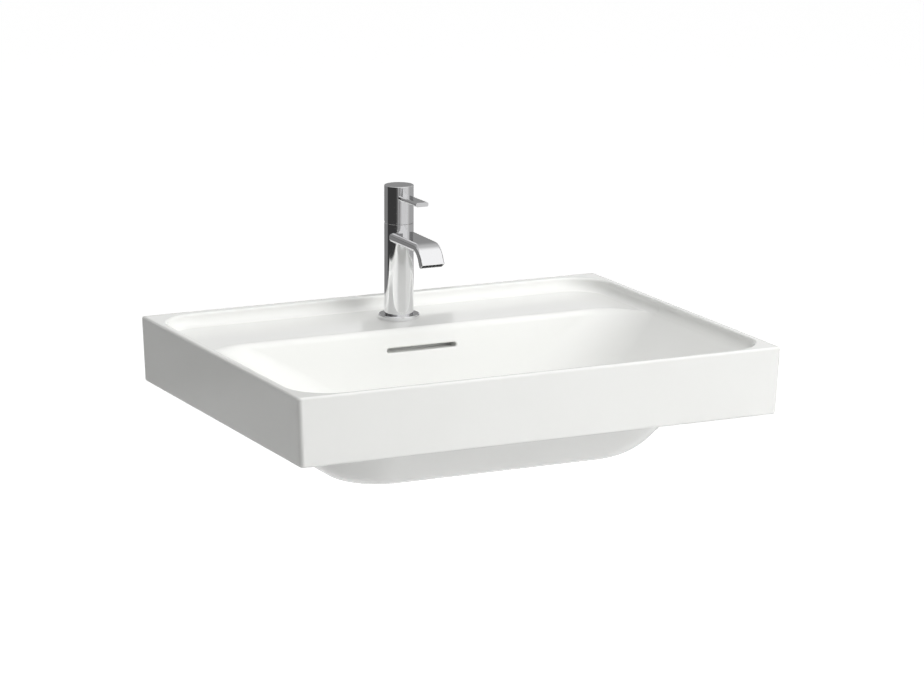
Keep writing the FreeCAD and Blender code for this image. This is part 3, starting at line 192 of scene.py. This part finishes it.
upright_card("dark_card_back", start=(LEFT, BACK), end=(BACK_END, BACK),
             low=SEAM, high=TOP, axis="X", first=(LEFT, 0.05), second=(BACK_END, 0.20))
upright_card("pale_card_right", start=(RIGHT, RIGHT_START), end=(RIGHT, BACK),
             low=FLOOR_LEVEL, high=SEAM, axis="Y", first=(RIGHT_START, 0.66), second=(-0.8, 0.37))
upright_card("grey_card_right", start=(RIGHT, RIGHT_START), end=(RIGHT, BACK),
             low=SEAM, high=TOP, axis="Y", first=(-2.0, 0.62), second=(-0.6, 0.17))

NEAR_LEFT, NEAR_RIGHT, NEAR_FRONT, BEHIND_TAP = -1.2, 0.1, -1.0, 0.3
NEAR_LOW, NEAR_HIGH = 0.33, 0.62
upright_card("grey_card_front", start=(NEAR_LEFT, NEAR_FRONT), end=(NEAR_RIGHT, NEAR_FRONT),
             low=NEAR_LOW, high=NEAR_HIGH, axis="X", first=(NEAR_LEFT, 0.20), second=(NEAR_RIGHT, 0.22))
upright_card("grey_card_front_left", start=(NEAR_LEFT, NEAR_FRONT), end=(NEAR_LEFT, BEHIND_TAP),
             low=NEAR_LOW, high=NEAR_HIGH, axis="Y", first=(NEAR_FRONT, 0.20), second=(BEHIND_TAP, 0.20))
RING_CARD_LOW, RING_CARD_HIGH, TAP_CARD_HIGH = 0.12, 0.2, 1.3
upright_card("grey_card_behind_ring", start=(0.12, BEHIND_TAP), end=(0.25, BEHIND_TAP),
             low=RING_CARD_LOW, high=RING_CARD_HIGH,
             axis="Z", first=(RING_CARD_LOW, 0.27), second=(RING_CARD_HIGH, 0.27))
upright_card("grey_card_over_tap", start=(-0.7, BEHIND_TAP), end=(0.6, BEHIND_TAP),
             low=RING_CARD_HIGH, high=TAP_CARD_HIGH,
             axis="Z", first=(RING_CARD_HIGH, 0.27), second=(TAP_CARD_HIGH, 0.48))
ceiling = level_sheet("white_ceiling", left=-3.0, right=3.0, front=-4.0, back=1.2, height=2.1)
paint_card(ceiling, "Y", first=(-0.75, 0.97), second=(0.3, 0.50))

BASIN_MIDDLE = Vector((0, -0.2, 0))


def softbox(name, place, width, height, power):
    """A rectangular lamp at a place, turned to the basin's middle. Metal mirrors the cards, not the lamp."""
    lamp = bpy.data.lights.new(name, "AREA")
    lamp.shape = "RECTANGLE"
    lamp.size, lamp.size_y, lamp.energy = width, height, power
    holder = bpy.data.objects.new(name, lamp)
    holder.location = place
    holder.rotation_mode = "QUATERNION"
    holder.rotation_quaternion = (BASIN_MIDDLE - Vector(place)).to_track_quat("-Z", "Y")
    holder.visible_glossy = False
    bpy.context.scene.collection.objects.link(holder)


softbox("key_front_right", place=(1.6, -3.0, 1.3), width=2.2, height=2.2, power=47.0)
softbox("front_high", place=(0.2, -2.6, 2.2), width=3.4, height=2.4, power=6.0)
softbox("key_right", place=(2.2, -2.6, 1.2), width=2.0, height=2.0, power=31.0)
softbox("overhead", place=(0.2, -0.4, 2.6), width=2.6, height=2.2, power=49.0)
softbox("front_low", place=(0.3, -3.2, -0.5), width=2.4, height=0.8, power=3.5)
softbox("left_back", place=(-2.8, 0.6, 0.7), width=1.6, height=1.6, power=12.5)


# Basin: one casting of vitreous china, sprayed with white glaze and fired.
# Its white changes very slightly where the glaze lies thin or deep; the back that meets the wall and the
# foot's rim are ground flat afterwards and stay bare and matt.
SOFT_UNDER = math.radians(28)
FLAT_WITHIN = math.radians(0.3)
PLACES_PER_METRE = 1e6
EDGE_SEGMENTS = 3


def joined_faces(node):
    """The node's triangles as one skin: corners that share a place become one corner."""
    mesh = node.data
    corners = np.empty(len(mesh.vertices) * 3)
    mesh.vertices.foreach_get("co", corners)
    keys = np.round(corners.reshape(-1, 3) * PLACES_PER_METRE).astype(np.int64)
    unique, index = np.unique(keys, axis=0, return_inverse=True)
    faces = np.empty(len(mesh.loops), np.int32)
    mesh.loops.foreach_get("vertex_index", faces)
    faces = index.reshape(-1)[faces].reshape(-1, 3)
    whole = (faces[:, 0] != faces[:, 1]) & (faces[:, 1] != faces[:, 2]) & (faces[:, 2] != faces[:, 0])
    return unique / PLACES_PER_METRE, faces[whole]


def smooth_skin(node_name, body, material, edge=0.0):
    """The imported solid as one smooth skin, its flats made whole and its sharp edges softened."""
    corners, faces = joined_faces(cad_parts[node_name])
    skin = bpy.data.meshes.new(node_name + "_skin")
    skin.from_pydata(corners.tolist(), [], faces.tolist())
    whole = bmesh.new()
    whole.from_mesh(skin)
    bmesh.ops.dissolve_limit(whole, angle_limit=FLAT_WITHIN, verts=whole.verts, edges=whole.edges)
    whole.to_mesh(skin)
    whole.free()
    skin.shade_smooth()
    skin.set_sharp_from_angle(angle=SOFT_UNDER)
    piece = bpy.data.objects.new(node_name + "_skin", skin)
    bpy.context.scene.collection.objects.link(piece)
    if edge:
        soft = piece.modifiers.new("soft_edges", "BEVEL")
        soft.limit_method = "ANGLE"
        soft.angle_limit = SOFT_UNDER
        soft.width = edge
        soft.segments = EDGE_SEGMENTS
    level = piece.modifiers.new("level_flats", "WEIGHTED_NORMAL")
    level.keep_sharp = True
    skin.materials.append(material)
    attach(piece, body)
    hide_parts(node_name)
    return piece


def grain_group():
    """Shader group: soft mottling between two values, with cells of a stated number to the metre."""
    detail, usual_low, usual_high = 3.0, 0.3, 0.7
    group = bpy.data.node_groups.new("surface_grain", "ShaderNodeTree")
    for name, kind in (("Place", "NodeSocketVector"), ("Cells per metre", "NodeSocketFloat"),
                       ("Low", "NodeSocketFloat"), ("High", "NodeSocketFloat")):
        group.interface.new_socket(name, in_out="INPUT", socket_type=kind)
    group.interface.new_socket("Value", in_out="OUTPUT", socket_type="NodeSocketFloat")
    nodes, links = group.nodes, group.links
    given, result = nodes.new("NodeGroupInput"), nodes.new("NodeGroupOutput")
    noise = nodes.new("ShaderNodeTexNoise")
    noise.inputs["Detail"].default_value = detail
    links.new(given.outputs["Place"], noise.inputs["Vector"])
    links.new(given.outputs["Cells per metre"], noise.inputs["Scale"])
    spread = nodes.new("ShaderNodeMapRange")
    spread.inputs["From Min"].default_value = usual_low
    spread.inputs["From Max"].default_value = usual_high
    links.new(noise.outputs[0], spread.inputs["Value"])
    links.new(given.outputs["Low"], spread.inputs["To Min"])
    links.new(given.outputs["High"], spread.inputs["To Max"])
    links.new(spread.outputs["Result"], result.inputs["Value"])
    return group


GRAIN = grain_group()


class Finish:
    """A material under construction: its shader and the place on the piece."""

    # The Mix node's sockets for colours have the same names as those for numbers, so they go by place.
    COLOR_A, COLOR_B, MIXED_COLOR = 6, 7, 2

    def __init__(self, name, color, metallic=0.0, roughness=0.5):
        self.material = bpy.data.materials.new(name)
        self.material.use_nodes = True
        self.nodes, self.links = self.material.node_tree.nodes, self.material.node_tree.links
        self.shader = self.nodes["Principled BSDF"]
        self.shader.inputs["Base Color"].default_value = (*color, 1)
        self.shader.inputs["Metallic"].default_value = metallic
        self.shader.inputs["Roughness"].default_value = roughness
        self.place = self.nodes.new("ShaderNodeTexCoord").outputs["Object"]

    def stretched(self, x, y, z):
        """The place on the piece, drawn out along some directions."""
        mapping = self.nodes.new("ShaderNodeMapping")
        mapping.inputs["Scale"].default_value = (x, y, z)
        self.links.new(self.place, mapping.inputs["Vector"])
        return mapping.outputs["Vector"]

    def grain(self, cells, low=0.0, high=1.0, place=None):
        """Mottling between two values, with some cells to the metre."""
        grain = self.nodes.new("ShaderNodeGroup")
        grain.node_tree = GRAIN
        self.links.new(place or self.place, grain.inputs["Place"])
        grain.inputs["Cells per metre"].default_value = cells
        grain.inputs["Low"].default_value = low
        grain.inputs["High"].default_value = high
        return grain.outputs["Value"]

    def tint(self, share, first, second):
        """A colour between two colours."""
        mix = self.nodes.new("ShaderNodeMix")
        mix.data_type = "RGBA"
        self.links.new(share, mix.inputs["Factor"])
        for socket, color in ((mix.inputs[self.COLOR_A], first), (mix.inputs[self.COLOR_B], second)):
            if isinstance(color, tuple):
                socket.default_value = (*color, 1)
            else:
                self.links.new(color, socket)
        return mix.outputs[self.MIXED_COLOR]

    def between(self, share, first, second):
        """A number between two numbers."""
        mix = self.nodes.new("ShaderNodeMix")
        self.links.new(share, mix.inputs["Factor"])
        for socket, level in ((mix.inputs["A"], first), (mix.inputs["B"], second)):
            if isinstance(level, float):
                socket.default_value = level
            else:
                self.links.new(level, socket)
        return mix.outputs["Result"]

    def past(self, value, start, end):
        """0 before a start, 1 past an end."""
        step = self.nodes.new("ShaderNodeMapRange")
        step.inputs["From Min"].default_value = start
        step.inputs["From Max"].default_value = end
        self.links.new(value, step.inputs["Value"])
        return step.outputs["Result"]

    def relief(self, height, depth):
        """Turns a height into fine relief of a depth in metres."""
        bump = self.nodes.new("ShaderNodeBump")
        bump.inputs["Strength"].default_value = 1.0
        bump.inputs["Distance"].default_value = depth
        self.links.new(height, bump.inputs["Height"])
        self.links.new(bump.outputs["Normal"], self.shader.inputs["Normal"])

    def set(self, socket, value):
        """Feeds a value that changes over the surface to the shader."""
        self.links.new(value, self.shader.inputs[socket])


THIN_GLAZE, DEEP_GLAZE = (0.853, 0.857, 0.835), (0.866, 0.870, 0.850)
DARK_CLAY, PALE_CLAY, CLAY_ROUGHNESS = (0.70, 0.68, 0.63), (0.78, 0.76, 0.71), 0.75
GROUND_OFF_BACK, GROUND_OFF_FOOT, GLAZE_END = 0.0004, 0.0001, 0.0002
glaze = Finish("white_glaze", color=(0.86, 0.864, 0.843))
where = glaze.nodes.new("ShaderNodeSeparateXYZ")
glaze.links.new(glaze.place, where.inputs[0])
basin_low, basin_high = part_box("basin")
ground_back, ground_foot = basin_high.y - GROUND_OFF_BACK, basin_low.z + GROUND_OFF_FOOT
back = glaze.past(where.outputs["Y"], start=ground_back - GLAZE_END, end=ground_back)
foot = glaze.past(where.outputs["Z"], start=ground_foot + GLAZE_END, end=ground_foot)
bare_mask = glaze.nodes.new("ShaderNodeMath")
bare_mask.operation = "MAXIMUM"
glaze.links.new(back, bare_mask.inputs[0])
glaze.links.new(foot, bare_mask.inputs[1])
bare = bare_mask.outputs[0]
fired = glaze.tint(glaze.grain(cells=9.0), THIN_GLAZE, DEEP_GLAZE)
clay = glaze.tint(glaze.grain(cells=900.0), DARK_CLAY, PALE_CLAY)
glaze.set("Base Color", glaze.tint(bare, fired, clay))
glaze.set("Roughness", glaze.between(bare, glaze.grain(cells=25.0, low=0.07, high=0.12), CLAY_ROUGHNESS))
glaze.relief(glaze.grain(cells=60.0), depth=0.00002)
smooth_skin("basin", "basin_and_fittings", glaze.material, edge=0.0006)


# Tap foot: a chromed brass ring 50 mm across on a rubber seal, standing on the ledge round the
# tap hole. Turned from bar with its upper edge rounded, and polished before plating.
CHROME_ROUGHNESS_TO_LIGHT = 0.6
chrome = Finish("chrome_plate", color=(0.91, 0.91, 0.92), metallic=1.0, roughness=0.05)
light_ray = chrome.nodes.new("ShaderNodeLightPath").outputs["Is Diffuse Ray"]
polish = chrome.grain(cells=40.0, low=0.035, high=0.075)
chrome.set("Roughness", chrome.between(light_ray, polish, CHROME_ROUGHNESS_TO_LIGHT))
rubber = Finish("black_rubber", color=(0.022, 0.022, 0.023), roughness=0.8)
rubber.set("Roughness", rubber.grain(cells=300.0, low=0.68, high=0.85))
rubber.relief(rubber.grain(cells=2600.0), depth=0.00003)
smooth_skin("base_ring", "basin_and_fittings", chrome.material, edge=0.0001)
smooth_skin("base_seal", "basin_and_fittings", rubber.material)


# Tap column: a chromed brass casting, turned round outside.
# Its mixer cavity is bored from the top and its waterways from below.
smooth_skin("tap_body", "basin_and_fittings", chrome.material, edge=0.0001)


# Spout: a flat hollow arm of chromed brass that bends down to its mouth, soldered to the column's side.
# A grey plastic piece with a row of slots is pressed into the mouth and straightens the water.
smooth_skin("tap_spout", "basin_and_fittings", chrome.material, edge=0.0002)
grey = Finish("grey_plastic", color=(0.075, 0.076, 0.08), roughness=0.45)
grey.set("Roughness", grey.grain(cells=400.0, low=0.4, high=0.52))
grey.relief(grey.grain(cells=5000.0), depth=0.00001)
smooth_skin("spout_insert", "basin_and_fittings", grey.material)


# Cartridge: two ground ceramic discs in a white plastic housing, worked by a grey driver and clamped
# into the column by a brass nut under the cap. None of it shows when the tap is put together.
white = Finish("white_plastic", color=(0.78, 0.78, 0.76), roughness=0.4)
white.set("Roughness", white.grain(cells=300.0, low=0.34, high=0.48))
white.relief(white.grain(cells=4000.0), depth=0.00001)

DARK_CERAMIC, PALE_CERAMIC = (0.83, 0.80, 0.73), (0.87, 0.84, 0.78)
ground = Finish("ground_ceramic", color=(0.85, 0.82, 0.75), roughness=0.2)
ground.set("Base Color", ground.tint(ground.grain(cells=1500.0), DARK_CERAMIC, PALE_CERAMIC))
ground.set("Roughness", ground.grain(cells=800.0, low=0.14, high=0.24))

DARK_BRASS, PALE_BRASS = (0.66, 0.49, 0.23), (0.76, 0.60, 0.31)
brass = Finish("turned_brass", color=(0.72, 0.55, 0.27), metallic=1.0, roughness=0.3)
turning = brass.stretched(x=0.08, y=0.08, z=1.0)
brass.set("Base Color", brass.tint(brass.grain(cells=60.0), DARK_BRASS, PALE_BRASS))
brass.set("Roughness", brass.grain(cells=3000.0, low=0.2, high=0.38, place=turning))
brass.relief(brass.grain(cells=3000.0, place=turning), depth=0.00001)

BLUE_ZINC, YELLOW_ZINC = (0.56, 0.58, 0.62), (0.66, 0.65, 0.60)
steel = Finish("zinc_plated_steel", color=(0.60, 0.61, 0.63), metallic=1.0, roughness=0.35)
steel.set("Base Color", steel.tint(steel.grain(cells=90.0), BLUE_ZINC, YELLOW_ZINC))
steel.set("Roughness", steel.grain(cells=700.0, low=0.26, high=0.42))

smooth_skin("cartridge_housing", "basin_and_fittings", white.material)
smooth_skin("cartridge_plate", "basin_and_fittings", white.material)
smooth_skin("cartridge_nut", "basin_and_fittings", brass.material, edge=0.0001)
smooth_skin("fixed_disc", "basin_and_fittings", ground.material)
smooth_skin("port_seals", "basin_and_fittings", rubber.material)
smooth_skin("bore_seal", "basin_and_fittings", rubber.material)
smooth_skin("moving_disc", "mixing_disc", ground.material)
smooth_skin("disc_carrier", "mixing_disc", grey.material)
smooth_skin("driver", "cartridge_driver", grey.material)
smooth_skin("pivot_pin", "cartridge_driver", steel.material)


# Lever: a chromed zinc cap with a flat bar cast in one with it, held on the cartridge's stem by a grub
# screw. A small chromed plug closes the screw's hole at the back.
smooth_skin("handle", "lever", chrome.material, edge=0.0002)
smooth_skin("screw_plug", "lever", chrome.material)
smooth_skin("handle_screw", "lever", steel.material)
smooth_skin("lever_stem", "lever", steel.material)


# Tap fixing: a stud from the column's foot through the tap hole, with a rubber pad, a steel plate and
# a brass nut drawn up under the ledge. Pad and plate are cut open at one side for the hoses.
for name, slot, finish in (("fixing_stud", "steel", steel), ("clamp_pad", "rubber", rubber),
                           ("clamp_plate", "steel", steel), ("clamp_nut", "brass", brass)):
    smooth_skin(name, "basin_and_fittings", finish.material)


# Waste: a chromed brass body pulled down on the bowl's floor by a brass nut from below, with a rubber
# seal under its flange and another over the nut. A white hub with three ribs carries the click plug.
for name, slot, finish in (("waste_body", "chrome", chrome), ("flange_seal", "rubber", rubber),
                           ("lower_seal", "rubber", rubber), ("waste_nut", "brass", brass),
                           ("click_hub", "white_plastic", white)):
    smooth_skin(name, "basin_and_fittings", finish.material)


# Plug: a slightly crowned, chromed cap on a brass stem, with a rubber ring in its underside. It is
# pushed down against a spring wound from steel wire.
for name, slot, finish in (("plug_cap", "chrome", chrome), ("plug_seal", "rubber", rubber),
                           ("plug_stem", "brass", brass)):
    smooth_skin(name, "plug", finish.material)
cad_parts["plug_spring"].material_slots[0].material = steel.material
